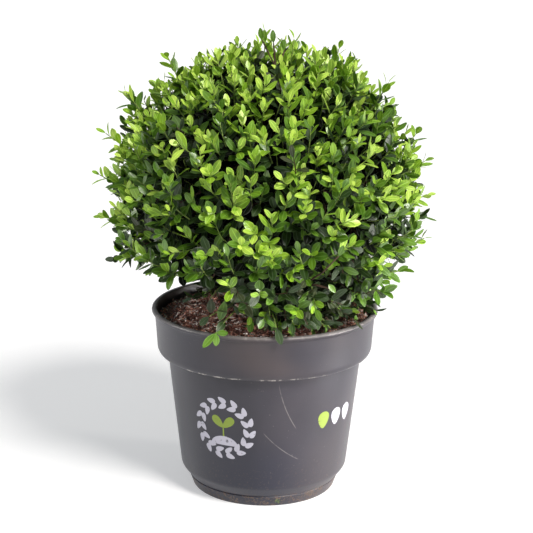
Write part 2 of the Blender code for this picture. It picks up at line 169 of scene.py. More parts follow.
class Wire:
    # one output socket of a node tree; operators on it add Math nodes
    def __init__(self, tree, socket=None):
        self.tree = tree
        self.socket = socket

    def add(self, kind, settings=None, values=None, output=0):
        # any node: its settings come first, then its sockets' values or links
        made = self.tree.nodes.new("ShaderNode" + kind)
        for name, value in (settings or {}).items():
            setattr(made, name, value)
        for name, value in (values or {}).items():
            if isinstance(value, Wire):
                self.tree.links.new(value.socket, made.inputs[name])
            else:
                made.inputs[name].default_value = value
        return Wire(self.tree, made.outputs[output])

    def maths(self, operation, *operands):
        return self.add("Math", {"operation": operation}, dict(enumerate(operands)))

    def __add__(self, other):
        return self.maths("ADD", self, other)

    def __radd__(self, other):
        return self.maths("ADD", other, self)

    def __sub__(self, other):
        return self.maths("SUBTRACT", self, other)

    def __rsub__(self, other):
        return self.maths("SUBTRACT", other, self)

    def __mul__(self, other):
        return self.maths("MULTIPLY", self, other)

    def __rmul__(self, other):
        return self.maths("MULTIPLY", other, self)

    def __abs__(self):
        return self.maths("ABSOLUTE", self)

    def ramp(self, low, high):
        # 0 at low and 1 at high, smooth between them
        limits = {"Value": self, "From Min": low, "From Max": high}
        return self.add("MapRange", {"interpolation_type": "SMOOTHSTEP"}, limits)

    def noise(self, scale, detail=3.0, roughness=0.5):
        # with this wire as the place
        values = {"Vector": self, "Scale": scale, "Detail": detail, "Roughness": roughness}
        return self.add("TexNoise", values=values)

    def axes(self):
        return [self.add("SeparateXYZ", values={"Vector": self}, output=axis) for axis in "XYZ"]

    def blend(self, first, second):
        # a colour mix with this wire as its factor; sockets 6 and 7 are its two colours
        first, second = (c if isinstance(c, Wire) else (*c, 1.0) for c in (first, second))
        return self.add("Mix", {"data_type": "RGBA"}, {0: self, 6: first, 7: second}, 2)


def flatDistance(a, b):
    return a.maths("SQRT", a * a + b * b)


def linear(red, green, blue):
    # a colour as a screen shows it, 0 to 255, to the shader's own scale
    shares = (value / 255.0 for value in (red, green, blue))
    return tuple(s / 12.92 if s <= 0.04045 else ((s + 0.055) / 1.055) ** 2.4 for s in shares)


def shaded(colour, share):
    return tuple(value * share for value in colour)


def startMaterial(name, **constants):
    # constants are sockets by name, with _ in place of each space
    material = bpy.data.materials.new(name)
    material.use_nodes = True
    shader = material.node_tree.nodes["Principled BSDF"]
    for socket, value in constants.items():
        shader.inputs[socket.replace("_", " ")].default_value = value
    place = Wire(material.node_tree).add("TexCoord", output="Object")
    return material, shader, place


def feed(shader, socket, wire):
    wire.tree.links.new(wire.socket, shader.inputs[socket])


def feedBump(shader, height, strength, distance):
    values = {"Height": height, "Strength": strength, "Distance": distance}
    feed(shader, "Normal", height.add("Bump", values=values))


def grainyMaterial(name, colour, look):
    # bark or bark soil: fine grain and larger patches between a dark and a pale tone
    material, shader, place = startMaterial(name, Specular_IOR_Level=look["specular"])
    values = {"Vector": place, "Scale": (1.0, 1.0, look["stretch"])}
    grain = place.add("Mapping", values=values).noise(look["grainScale"], 4.0, 0.6)
    patch = place.noise(look["patchScale"])
    mask = grain * look["grainShare"] + patch * (1.0 - look["grainShare"])
    mask = mask.ramp(0.5 - look["softness"], 0.5 + look["softness"])
    feed(shader, "Base Color", mask.blend(shaded(colour, 0.45), shaded(colour, look["paleness"])))
    low, more = look["roughness"]
    feed(shader, "Roughness", low + grain * more)
    feedBump(shader, grain, 0.5, look["relief"])
    return material


# camera, light and floor

view = {
    "place": (0.0, -1.6, 0.674),
    "pitchDown": 14.55,
    "turnRight": 0.055,
    "roll": 0.5,
    "sensor": 36.0,
    "focal": 1443.8 / 533 * 36.0,
}
studio = {
    "skyStrength": 0.35,
    "skyLeft": (0.42, 0.48, 0.58),
    "skyRight": (0.97, 0.99, 1.0),
    "lampColour": (1.0, 0.965, 0.93),
    "sunStrength": 3.0,
    "sunAzimuth": 308.0,  # where the light comes from
    "sunElevation": 45.0,
    "sunSoftness": 16.0,
    "softboxes": (
        # name, place, the point it is aimed at, width, height, spread, power
        ("sideSoftbox", (1.31, -0.24, 0.09), (0.0, 0.0, 0.06), 0.9, 0.4, 15.0, 2.7),
        ("soilSoftbox", (-1.00, 0.02, 0.58), (-0.05, -0.03, 0.20), 0.3, 0.2, 10.0, 0.10),
    ),
    "size": 60.0,
    "wallRadius": 28.0,
    "wallColour": (0.93, 0.93, 0.93),
    "floorColour": (0.72, 0.72, 0.72),
    "floorGlow": 0.45,
}


def direction(azimuth, elevation):
    a, e = radians(azimuth), radians(elevation)
    return Vector((cos(a) * cos(e), sin(a) * cos(e), sin(e)))


def lookAlong(way, roll=0.0):
    aim = way.to_track_quat("-Z", "Y").to_matrix()
    return (aim @ Matrix.Rotation(radians(roll), 3, "Z")).to_euler()


def makeCamera():
    camera = addToScene("camera", bpy.data.cameras.new("camera"))
    camera.data.sensor_width = view["sensor"]
    camera.data.lens = view["focal"]
    camera.location = view["place"]
    ahead = direction(90.0 - view["turnRight"], -view["pitchDown"])
    camera.rotation_euler = lookAlong(ahead, view["roll"])
    bpy.context.scene.camera = camera
    bpy.context.scene.view_settings.view_transform = "Standard"


def makeLights():
    world = bpy.data.worlds.new("studioSky")
    world.use_nodes = True
    background = world.node_tree.nodes["Background"]
    background.inputs["Strength"].default_value = studio["skyStrength"]
    across = Wire(world.node_tree).add("TexCoord", output="Object").axes()[0]
    sky = across.ramp(-0.8, 0.8).blend(studio["skyLeft"], studio["skyRight"])
    feed(background, "Color", sky)
    bpy.context.scene.world = world

    sun = addToScene("sun", bpy.data.lights.new("sun", "SUN"))
    sun.data.energy = studio["sunStrength"]
    sun.data.color = studio["lampColour"]
    sun.data.angle = radians(studio["sunSoftness"])
    sun.rotation_euler = lookAlong(-direction(studio["sunAzimuth"], studio["sunElevation"]))

    for name, place, target, width, height, spread, power in studio["softboxes"]:
        softbox = addToScene(name, bpy.data.lights.new(name, "AREA"))
        softbox.data.shape = "RECTANGLE"
        softbox.data.size, softbox.data.size_y = width, height
        softbox.data.spread = radians(spread)
        softbox.data.energy = power
        softbox.data.color = studio["lampColour"]
        softbox.location = place
        softbox.rotation_euler = lookAlong(Vector(target) - softbox.location)


def stageMaterial(name, colour, glowColour, glow):
    material, shader, place = startMaterial(
        name,
        Roughness=0.9,
        Specular_IOR_Level=0.0,
        Base_Color=(*colour, 1.0),
        Emission_Color=(*glowColour, 1.0),
        Emission_Strength=glow,
    )
    return material


def makeStage():
    deselectAll()
    bpy.ops.mesh.primitive_plane_add(size=studio["size"], location=(0.0, 0.0, 0.0))
    floor = bpy.context.object
    floor.name = "floor"
    glow = studio["floorGlow"]
    paint(floor, stageMaterial("floorPaper", studio["floorColour"], (1.0, 1.0, 1.0), glow))

    # a pale wall far behind, which neither lights nor shades the plant
    deselectAll()
    bpy.ops.mesh.primitive_cylinder_add(
        vertices=128, radius=studio["wallRadius"], depth=studio["size"], end_fill_type="NOTHING"
    )
    wall = bpy.context.object
    wall.name = "studioWall"
    wall.visible_diffuse = wall.visible_glossy = wall.visible_shadow = False
    paint(wall, stageMaterial("wallPaper", (0.0, 0.0, 0.0), studio["wallColour"], 1.0))


# the crown's shape, by the same rule as its solids

crown = {
    "centre": Vector((0.001, 0.0, 0.357)),
    "radius": 0.183,
    "rise": 0.162,
    "drop": 0.164,
    "upperFullness": 2.0,  # 2 is an ellipse, more is nearer to a square
    "lowerFullness": 3.0,
    "hollowShare": 0.42,
    "stemFootShare": 0.97,
    "rings": (
        # name, how many masses, their elevation and the first one's azimuth
        ("crown_top", 1, 90.0, 0.0),
        ("crown_upper", 4, 36.0, 45.0),
        ("crown_side", 6, -14.0, 30.0),
    ),
    "notchAzimuth": 216.0,
    "notchFlat": 34.0,
    "notchWidth": 22.0,
    "notchHeight": 0.055,
}
pot = {
    "height": 0.2134,
    "sides": 160,
    "wall": 0.0022,
    "rimRadius": 0.130,
    "beadHeight": 0.0058,
    "beadDepth": 0.0034,
    "collarHeight": 0.0519,
    "collarTopRadius": 0.1264,
    "collarFootRadius": 0.1240,
    "collarRound": 0.0090,
    "creaseRadius": 0.1195,
    "bodyTopRadius": 0.1117,
    "bodyFootRadius": 0.0968,
    "chamferTop": 0.0240,
    "chamferFoot": 0.0135,
    "footTopRadius": 0.0874,
    "footRadius": 0.0830,
    "floorThickness": 0.0025,
    "channelDepth": 0.0030,
    "footRingWidth": 0.0075,
    "discRadius": 0.040,
    "drainHoles": 6,
    "drainRadius": 0.0055,
    "drainCircle": 0.058,
}
soil = {"edgeHeight": 0.2000, "mound": 0.0060, "seatRadius": 0.022, "sides": 96}


def crownReach(way):
    height, power = crown["drop"], crown["lowerFullness"]
    if way.z > 0:
        height, power = crown["rise"], crown["upperFullness"]
    across = hypot(way.x, way.y) / crown["radius"]
    return (across**power + abs(way.z / height) ** power) ** (-1.0 / power)


def massMiddles():
    middles = {}
    for ring, count, elevation, first in crown["rings"]:
        for i in range(count):
            name = ring if count == 1 else f"{ring}_{i + 1}"
            middles[name] = direction(first + 360.0 * i / count, elevation)
    return middles


def soilHeight(radius):
    edge = pot["collarTopRadius"] - pot["wall"]
    share = (radius - soil["seatRadius"]) / (edge - soil["seatRadius"])
    share = min(1.0, max(0.0, share))
    return soil["edgeHeight"] + soil["mound"] * (0.5 + 0.5 * cos(pi * share))


def lowestHeight(point):
    # foliage stays above the soil and the rim, and higher over the notch
    radius = hypot(point.x, point.y)
    azimuth = degrees(atan2(point.y, point.x)) % 360.0
    away = abs((azimuth - crown["notchAzimuth"] + 180.0) % 360.0 - 180.0)
    share = min(1.0, max(0.0, away - crown["notchFlat"]) / crown["notchWidth"])
    rise = 0.5 + 0.5 * cos(pi * share)
    notch = crown["notchHeight"] * rise * min(1.0, radius / 0.09)
    overPot = radius > pot["collarTopRadius"] * 0.8
    ground = pot["height"] + 0.002 if overPot else soilHeight(radius) + 0.006
    return ground + notch


def spreadWays(count, turn=0.0):
    # unit vectors spread evenly all round
    golden = pi * (3.0 - sqrt(5.0))
    for i in range(count):
        z = 1.0 - 2.0 * (i + 0.5) / count
        level = sqrt(1.0 - z * z)
        yield Vector((level * cos(i * golden + turn), level * sin(i * golden + turn), z))


def jitter(size):
    return Vector([random.uniform(-size, size) for _ in range(3)])


# pot


def arc(centre, across, up, firstAngle, lastAngle, steps):
    points = []
    for i in range(steps + 1):
        angle = radians(firstAngle + (lastAngle - firstAngle) * i / steps)
        points.append((centre[0] + across * cos(angle), centre[1] + up * sin(angle)))
    return points


def potProfile():
    # radius and height, from the edge of the inner floor up the inside and down the outside;
    # steps of fractions of a millimetre make the edges round
    p = pot
    crease = p["height"] - p["collarHeight"]
    wall, top, foot = p["wall"], p["collarTopRadius"], p["footTopRadius"]
    beadMiddle = (p["rimRadius"] - p["beadDepth"], p["height"] - p["beadHeight"] / 2)
    roundMiddle = (p["creaseRadius"], crease + p["collarRound"])
    roundWidth = p["collarFootRadius"] - p["creaseRadius"]
    ring = p["footRadius"] - p["footRingWidth"]
    slope = p["channelDepth"] * 0.5
    inside = [
        (p["footRadius"] - wall, p["channelDepth"] + p["floorThickness"]),
        (foot - wall, p["chamferFoot"] + wall * 0.5),
        (p["bodyFootRadius"] - wall, p["chamferTop"] + wall),
        (p["bodyTopRadius"] - wall, crease + wall),
        (p["creaseRadius"] - wall * 0.5, crease + wall),
        (p["collarFootRadius"] - wall, crease + p["collarRound"]),
        (top - wall, p["height"] - 0.0030),
        (top - wall + 0.0003, p["height"] - 0.0012),
        (top - wall + 0.0010, p["height"] - 0.0003),
    ]
    bead = arc(beadMiddle, p["beadDepth"], p["beadHeight"] / 2, 90, -75, 9)
    bead.append((top + 0.0003, p["height"] - p["beadHeight"] * 1.15))
    bead.append((top, p["height"] - p["beadHeight"] * 1.5))
    collar = arc(roundMiddle, roundWidth, p["collarRound"], 0, -78, 7)
    outside = [
        (p["creaseRadius"] + 0.0004, crease + 0.0004),
        (p["creaseRadius"] - 0.0004, crease),
        (p["bodyTopRadius"] + 0.0012, crease + 0.0002),
        (p["bodyTopRadius"] + 0.0002, crease - 0.0010),
        (p["bodyFootRadius"] + 0.0002, p["chamferTop"] + 0.0042),
        (p["bodyFootRadius"] - 0.0004, p["chamferTop"] + 0.0018),
        (p["bodyFootRadius"] - 0.0016, p["chamferTop"] - 0.0006),
        (foot + 0.0012, p["chamferFoot"] + 0.0012),
        (foot + 0.0002, p["chamferFoot"] - 0.0002),
        (foot - 0.0004, p["chamferFoot"] - 0.0008),
        (foot + 0.0001, p["chamferFoot"] - 0.0016),
        (p["footRadius"] + 0.0006, 0.0008),
        (p["footRadius"], 0.0),
    ]
    under = [
        (ring, 0.0),
        (ring - slope, p["channelDepth"]),
        (p["discRadius"] + slope, p["channelDepth"]),
        (p["discRadius"], 0.0),
    ]
    return inside + bead + collar + outside + under


def drawProfile(profile):
    # from the selected ring, which stands at the profile's first place
    for (lastRadius, lastHeight), (radius, height) in zip(profile, profile[1:]):
        share = radius / lastRadius
        drawRing((0.0, 0.0, height - lastHeight), (share, share, 1.0), (0.0, 0.0, height))


def makePot():
    profile = potProfile()
    radius, height = profile[0]
    deselectAll()
    bpy.ops.mesh.primitive_circle_add(
        vertices=pot["sides"], radius=radius, fill_type="TRIFAN", location=(0.0, 0.0, height)
    )
    body = startPiece("potBody")
    editOutside(body, radius * 0.5)
    drawProfile(profile)
    bpy.ops.mesh.edge_face_add()
    bpy.ops.mesh.poke()
    bpy.ops.mesh.select_all(action="SELECT")
    bpy.ops.mesh.remove_doubles(threshold=0.00001)
    endEdit()

    drills = []
    for i in range(pot["drainHoles"]):
        angle = 2 * pi * (i + 0.5) / pot["drainHoles"]
        place = (pot["drainCircle"] * cos(angle), pot["drainCircle"] * sin(angle), 0.0)
        deselectAll()
        bpy.ops.mesh.primitive_cylinder_add(
            vertices=24, radius=pot["drainRadius"], depth=0.03, location=place
        )
        drills.append(bpy.context.object)
    drill = joinInto("drainDrill", drills)
    settle(drill)
    cut = body.modifiers.new("drainHoles", "BOOLEAN")
    cut.operation = "DIFFERENCE"
    cut.object = drill
    applyModifiers(body)
    bpy.data.objects.remove(drill)
    selectOnly(body)
    bpy.ops.object.shade_smooth_by_angle(angle=radians(32.0))
    finishPiece(body, potPlastic(), ("pot",))
    print("pot made")


potLook = {
    "plain": linear(49, 48, 57),
    "deep": linear(42, 41, 50),
    "dustAndSideLightTone": linear(90, 77, 73),  # dry brown dust, placed so that it is also painted light on the pot's right
    # dark blue for the painted shade low on the pot's left
    "paintedShadeLowLeft": linear(34, 36, 51),
    "inside": linear(30, 24, 20),
    # pale colour for wear, specks, scratches and the rim's painted highlight
    "scuffAndHighlight": linear(190, 184, 178),
    "grit": linear(122, 98, 78),
    "moss": linear(84, 116, 40),
    "roughness": 0.34,
    "noises": (
        # scale, detail and roughness of cloud, speck, wear, patch, drift and fine
        (14.0, 4.0, 0.6),
        (420.0, 3.0, 0.6),
        (95.0, 5.0, 0.65),
        (30.0, 3.0, 0.55),
        (9.0, 2.0, 0.4),
        (1500.0, 2.0, 0.5),
    ),
    "scratches": (
        # the curve's middle, its radius, and where it starts and ends across
        (0.1740, 0.1800, 0.1600, 0.0155, 0.0370),
        (0.1270, 0.1990, 0.1640, -0.0010, 0.0430),
    ),
    "scratchWidth": 0.0006,
    "mossSpot": (0.0165, 0.0060, 0.0045),
}


def inFront(y):
    return 1.0 - y.ramp(-0.05, -0.04)


def potScratch(x, y, z, middleX, middleZ, size, lowX, highX):
    # a thin curved line on the pot's front, as a mask
    away = flatDistance(x - middleX, z - middleZ)
    line = 1.0 - abs(away - size).ramp(potLook["scratchWidth"] * 0.3, potLook["scratchWidth"])
    inside = x.ramp(lowX, lowX + 0.003) * (1.0 - x.ramp(highX - 0.003, highX))
    return line * inside * inFront(y)


def potPlastic():
    material, shader, place = startMaterial(
        "potPlastic", Specular_IOR_Level=0.45, Coat_Weight=0.10, Coat_Roughness=0.32
    )
    x, y, z = place.axes()
    radius = flatDistance(x, y)
    top = pot["height"]
    crease = top - pot["collarHeight"]
    cloud, speck, wear, patch, drift, fine = [place.noise(*n) for n in potLook["noises"]]
    tone = cloud.ramp(0.3, 0.7).blend(potLook["deep"], potLook["plain"])
    # dry dust, most of it on the collar; it is kept off the left, so it is also painted light,
    # paler on the lit right and darker on the shaded left
    dustAndSideLight = drift.ramp(0.36, 0.66) * (0.10 + 0.34 * z.ramp(crease - 0.01, crease + 0.02))
    dustAndSideLight = (dustAndSideLight + fine * 0.10) * x.ramp(-0.09, 0.0)
    tone = dustAndSideLight.blend(tone, potLook["dustAndSideLightTone"])
    # painted shade: darker and bluer low on the left, the pot's shaded side
    paintedShadeLowLeft = (1.0 - z.ramp(0.03, 0.13)) * (1.0 - x.ramp(0.0, 0.07)) * 0.85
    tone = paintedShadeLowLeft.blend(tone, potLook["paintedShadeLowLeft"])
    # pale wear along the crease, a pale band along the rim's top that is partly wear and partly a
    # painted highlight, specks and scratches
    nearCrease = 1.0 - abs(z - (crease + 0.0006)).ramp(0.0004, 0.0024)
    creaseWear = nearCrease * radius.ramp(0.1183, 0.1192) * wear.ramp(0.50, 0.60)
    creaseWear = creaseWear * patch.ramp(0.40, 0.52)
    # painted highlight along the top of the rim, with some wear on it
    rimWearAndHighlight = z.ramp(top - 0.0036, top - 0.0010) * (0.25 + wear.ramp(0.52, 0.70) * 0.4)
    specks = speck.ramp(0.70, 0.76) * cloud.ramp(0.42, 0.6) * 0.45
    pale = creaseWear.maths("MAXIMUM", creaseWear, rimWearAndHighlight)
    pale = pale.maths("MAXIMUM", pale, specks)
    for scratch in potLook["scratches"]:
        line = potScratch(x, y, z, *scratch) * wear.ramp(0.30, 0.55) * 0.26
        pale = pale.maths("MAXIMUM", pale, line)
    worn = (pale * 0.85).blend(tone, potLook["scuffAndHighlight"])
    # grit round the foot, with a little moss
    grit = (1.0 - z.ramp(0.0085, 0.0180)) * (speck * 0.6 + wear * 0.4).ramp(0.49, 0.58) * 0.50
    grit = grit + (1.0 - z.ramp(0.018, 0.070)) * speck.ramp(0.56, 0.66) * 0.16
    dirty = grit.blend(worn, potLook["grit"])
    mossX, mossZ, mossSize = potLook["mossSpot"]
    spot = flatDistance(x - mossX, z - mossZ)
    mossy = (1.0 - spot.ramp(mossSize * 0.3, mossSize)) * inFront(y)
    mossy = mossy + (1.0 - z.ramp(0.008, 0.014)) * wear.ramp(0.64, 0.70) * 0.6
    mossy = mossy * speck.ramp(0.44, 0.56) * 0.7
    inside = (1.0 - radius.ramp(0.1246, 0.1256)) * z.ramp(0.188, 0.196)
    colour = inside.blend(mossy.blend(dirty, potLook["moss"]), potLook["inside"])
    feed(shader, "Base Color", colour)
    roughness = potLook["roughness"] + cloud * 0.08 + dustAndSideLight * 0.10 + pale * 0.25 + grit * 0.4
    feed(shader, "Roughness", roughness)
    feedBump(shader, fine * 0.4 + cloud * 0.6 + pale * 0.5 + grit, 0.35, 0.0004)
    return material


# print on the pot: a plain wreath of leaves, and a row of three drops

wreath = {
    "azimuth": 244.6,
    "height": 0.0975,
    "radius": 0.0305,
    "leaves": 15,
    "leafLength": 0.0135,
    "leafWidth": 0.0060,
    "sproutHeight": 0.0230,
    "sproutLeaf": (0.0175, 0.0095),
    "moundSize": (0.0330, 0.0110),
}
drops = {
    "azimuth": 320.0,
    "height": 0.1035,
    "spacing": 0.0200,
    "size": 0.0150,
    "colours": ("green", "pale", "pale"),
}


def bodyRadius(height):
    low, high = pot["chamferTop"] + 0.0042, pot["height"] - pot["collarHeight"] - 0.0010
    share = (height - low) / (high - low)
    return pot["bodyFootRadius"] + 0.0002 + (pot["bodyTopRadius"] - pot["bodyFootRadius"]) * share


def flatOutline(points):
    # a flat printed shape; x runs round the pot and y up it
    mesh = bpy.data.meshes.new("print")
    mesh.from_pydata([(x, y, 0.0) for x, y in points], [], [list(range(len(points)))])
    return addToScene("print", mesh)


def leafOutline(middle, angle, length, width):
    points = []
    for i in range(20):
        t = 2 * pi * i / 20
        along = cos(t) * length / 2
        across = sin(t) * width / 2 * (1.0 - 0.35 * cos(t))
        x = middle[0] + along * cos(angle) - across * sin(angle)
        y = middle[1] + along * sin(angle) + across * cos(angle)
        points.append((x, y))
    return flatOutline(points)


def wrapOnPot(obj, azimuth, height):
    # bends a flat print round the pot's body
    selectOnly(obj)
    editAll("VERT")
    bpy.ops.mesh.quads_convert_to_tris()
    bpy.ops.mesh.subdivide(number_cuts=3)
    endEdit()
    for vertex in obj.data.vertices:
        z = height + vertex.co.y
        radius = bodyRadius(z) + 0.00012
        angle = radians(azimuth) + vertex.co.x / radius
        vertex.co = (radius * cos(angle), radius * sin(angle), z)
    skin = obj.modifiers.new("skin", "SOLIDIFY")
    skin.thickness = 0.00008
    skin.offset = 0.0
    applyModifiers(obj)


def placePrint(name, shapes, spot, colour):
    piece = joinInto(name, shapes)
    wrapOnPot(piece, spot["azimuth"], spot["height"])
    finishPiece(piece, printInk(name + "Ink", printLook[colour]))


def makeWreath():
    pale, green = [], []
    for i in range(wreath["leaves"]):
        angle = pi / 2 + 2 * pi * i / wreath["leaves"]
        for side in (-1, 1):
            radius = wreath["radius"] + side * wreath["leafWidth"] * 0.62
            middle = (radius * cos(angle), radius * sin(angle))
            turn = angle + pi / 2 - side * 0.55
            pale.append(leafOutline(middle, turn, wreath["leafLength"] * 0.8, wreath["leafWidth"]))
    # a sprout on a low mound inside the wreath
    length, width = wreath["sproutLeaf"]
    for side in (-1, 1):
        middle = (side * length * 0.36, length * 0.42)
        green.append(leafOutline(middle, pi * 1.5 - side * 0.80, length, width))
    foot, top = -wreath["sproutHeight"] * 0.42, length * 0.12
    green.append(flatOutline([(-0.0009, foot), (0.0009, foot), (0.0007, top), (-0.0007, top)]))
    wide, tall = wreath["moundSize"]
    angles = [pi * i / 16 for i in range(17)]
    mound = [(cos(a) * wide / 2, sin(a) * tall + foot - tall) for a in angles]
    pale.append(flatOutline(mound))
    placePrint("wreathPale", pale, wreath, "pale")
    placePrint("sproutGreen", green, wreath, "green")


def makeDrops():
    shapes = {"pale": [], "green": []}
    for i, colour in enumerate(drops["colours"]):
        middle = ((i - 1) * drops["spacing"], 0.0)
        drop = leafOutline(middle, -pi / 2, drops["size"] * 1.35, drops["size"])
        shapes[colour].append(drop)
    placePrint("dropsPale", shapes["pale"], drops, "pale")
    placePrint("dropsGreen", shapes["green"], drops, "green")
    print("prints made")


printLook = {"pale": linear(184, 182, 194), "green": linear(128, 148, 52), "roughness": 0.45}


def printInk(name, colour):
    material, shader, place = startMaterial(name)
    wear = place.noise(260.0, 4.0, 0.6)
    worn = wear.ramp(0.62, 0.70) * 0.8
    feed(shader, "Base Color", worn.blend(colour, potLook["plain"]))
    feed(shader, "Roughness", printLook["roughness"] + wear * 0.15)
    return material


# soil

soilChips = {
    "fibres": 5200,
    "fibreLength": (0.0030, 0.0110),
    "fibreWidth": (0.0009, 0.0024),
    "crumbs": 4200,
    "crumbSize": (0.0006, 0.0020),
    "tones": (
        ("soilFibresDark", 0.40, linear(126, 84, 72)),
        ("soilFibresRed", 0.42, linear(204, 146, 126)),
        ("soilFibresTan", 0.18, linear(252, 236, 228)),
    ),
    "peat": linear(74, 50, 42),
    "crumbPeat": linear(160, 112, 96),
}
soilLook = {
    "specular": 0.8,
    "stretch": 1.0,
    "grainScale": 700.0,
    "patchScale": 60.0,
    "grainShare": 0.6,
    "softness": 0.15,
    "paleness": 1.5,
    "roughness": (0.34, 0.30),
    "relief": 0.0006,
}


def innerRadius(height):
    # the pot's inner radius at a height, with a little clearance
    inside = potProfile()[:7]
    for (lowRadius, low), (highRadius, high) in zip(inside, inside[1:]):
        if low <= height <= high and high > low:
            share = (height - low) / (high - low)
            return lowRadius + (highRadius - lowRadius) * share - 0.0004
    return inside[0][0] - 0.0004


def makeSoilBed():
    edge, height = innerRadius(soil["edgeHeight"]), soil["edgeHeight"]
    deselectAll()
    bpy.ops.mesh.primitive_circle_add(
        vertices=soil["sides"], radius=edge, fill_type="NGON", location=(0.0, 0.0, height)
    )
    bed = startPiece("soilBed")
    editAll("FACE")
    for i in range(34):
        bpy.ops.mesh.inset(thickness=edge / 36.0)
    bpy.ops.mesh.poke()
    bpy.ops.object.mode_set(mode="OBJECT")
    sink = 0.0012
    for vertex in bed.data.vertices:
        radius = hypot(vertex.co.x, vertex.co.y)
        lumps = noise.noise(vertex.co * 60.0) * 0.0030 + noise.noise(vertex.co * 240.0) * 0.0014
        vertex.co.z = soilHeight(radius) - sink + lumps * min(1.0, (edge - radius) / 0.004)
    editOutside(bed, edge - 0.0002)
    steps = [(radius - 0.0004, height) for radius, height in potProfile()[:6]][::-1]
    steps[-1] = (steps[-1][0], steps[-1][1] + 0.0005)
    drawProfile([(edge, height - sink)] + steps)
    bpy.ops.mesh.edge_face_add()
    endEdit()
    selectOnly(bed)
    bpy.ops.object.shade_smooth_by_angle(angle=radians(50.0))
    material = grainyMaterial("soilPeat", soilChips["peat"], soilLook)
    finishPiece(bed, material, ("soil",))


def strewPiece(name, chips, materialName, colour):
    box = [(0, 3, 2, 1), (4, 5, 6, 7), (0, 1, 5, 4), (1, 2, 6, 5), (2, 3, 7, 6), (3, 0, 4, 7)]
    piece = meshFromArrays(name, np.concatenate(chips), *repeatFaces(box, 8, len(chips)))
    piece.data.shade_flat()
    finishPiece(piece, grainyMaterial(materialName, colour, soilLook))


def makeSoil():
    makeSoilBed()
    fibres = chipShapes(soilChips["fibres"], soilChips["fibreLength"], soilChips["fibreWidth"])
    first = 0
    for name, share, colour in soilChips["tones"]:
        last = min(len(fibres), first + int(round(share * len(fibres))))
        strewPiece(name, fibres[first:last], name + "Bark", colour)
        first = last
    size = soilChips["crumbSize"]
    crumbs = chipShapes(soilChips["crumbs"], size, size, tumble=0.9)
    strewPiece("soilCrumbs", crumbs, "soilCrumbPeat", soilChips["crumbPeat"])
    print("soil made")


def chipShapes(count, lengths, widths, tumble=0.34):
    # small bent boxes strewn over the soil's surface
    shapes = []
    edge = innerRadius(soil["edgeHeight"]) - 0.0050
    ring = ((-1, -1), (1, -1), (1, 1), (-1, 1))
    corners = np.array([(x, y, z) for z in (-1, 1) for x, y in ring], dtype=float)
    for _ in range(count):
        radius = edge * sqrt(random.random())
        angle = random.uniform(0.0, 2 * pi)
        length = random.uniform(*lengths)
        width = random.uniform(*widths)
        thick = width * random.uniform(0.4, 1.0)
        tilt = random.gauss(0.0, tumble)
        turn = Matrix.Rotation(random.uniform(0.0, 2 * pi), 3, "Z")
        turn = turn @ Matrix.Rotation(tilt, 3, "Y")
        turn = turn @ Matrix.Rotation(random.gauss(0.0, 0.5), 3, "X")
        points = corners * np.array([length / 2, width / 2, thick / 2])
        points *= 1.0 - 0.35 * np.random.default_rng(len(shapes)).random((8, 1))
        points = points @ np.array(turn).T
        lift = random.uniform(0.0004, 0.0032)
        middle = (radius * cos(angle), radius * sin(angle), soilHeight(radius) + lift)
        shapes.append(points + np.array(middle))
    return shapes


# trunk and boughs with the relief of their bark

limbs = {
    "trunkPath": (
        # share of the trunk's height, x, y and radius
        (0.00, 0.0000, 0.0000, 0.0165),
        (0.04, 0.0000, 0.0000, 0.0125),
        (0.11, 0.0010, 0.0004, 0.0102),
        (0.26, 0.0028, 0.0012, 0.0090),
        (0.45, 0.0022, 0.0026, 0.0078),
        (0.64, -0.0006, 0.0018, 0.0062),
        (0.86, 0.0010, 0.0000, 0.0038),
        (1.00, 0.0010, 0.0000, 0.0026),
    ),
    "boughSpread": 0.060,
    "upperBoughHeight": 0.283,
    "sideBoughHeight": 0.232,
    "boughRadius": 0.0046,
    "boughTipRadius": 0.0026,
    "boughArch": 0.006,
    "boughTipRun": 0.010,
    "trunkRelief": 0.0011,
    "boughRelief": 0.0004,
    "trunkColour": linear(98, 82, 66),
    "boughColour": linear(92, 78, 60),
}
barkLook = {
    "specular": 0.5,
    "stretch": 0.25,
    "grainScale": 900.0,
    "patchScale": 90.0,
    "grainShare": 0.5,
    "softness": 0.12,
    "paleness": 1.35,
    "roughness": (0.72, 0.15),
    "relief": 0.0005,
}


def trunkPoints():
    foot = soil["edgeHeight"] + soil["mound"] - 0.002
    tip = crown["centre"].z + crown["rise"] * crown["hollowShare"] * crown["stemFootShare"]
    return [(Vector((x, y, foot + s * (tip - foot))), r) for s, x, y, r in limbs["trunkPath"]]


def trunkAxis(height):
    points = [point for point, _ in trunkPoints()]
    for low, high in zip(points, points[1:]):
        if height <= high.z:
            return low.lerp(high, (height - low.z) / (high.z - low.z))
    return points[-1]


def stemFoot(middle):
    share = crown["hollowShare"] * crown["stemFootShare"]
    return crown["centre"] + middle * (share * crownReach(middle))


def bowed(start, elbow, end, t):
    return start.lerp(elbow, t).lerp(elbow.lerp(end, t), t)


def bowedRows(start, elbow, end, thick, thin, steps=3):
    # rows of x, y, z and radius along a bowed stem
    shares = [i / steps for i in range(steps + 1)]
    return np.array([(*bowed(start, elbow, end, t), thick + (thin - thick) * t) for t in shares])


def smoothPath(points, steps):
    # a smooth curve through rows of numbers, such as a place and a radius
    rows = np.array(points, dtype=float)
    rows = np.vstack([2 * rows[0] - rows[1], rows, 2 * rows[-1] - rows[-2]])
    out = []
    for i in range(1, len(rows) - 2):
        a, b, c, d = rows[i - 1 : i + 3]
        for t in np.arange(steps) / steps:
            bend, twist = 2 * a - 5 * b + 4 * c - d, 3 * b - a - 3 * c + d
            out.append(0.5 * (2 * b + (c - a) * t + bend * t**2 + twist * t**3))
    out.append(rows[-2])
    return np.array(out)


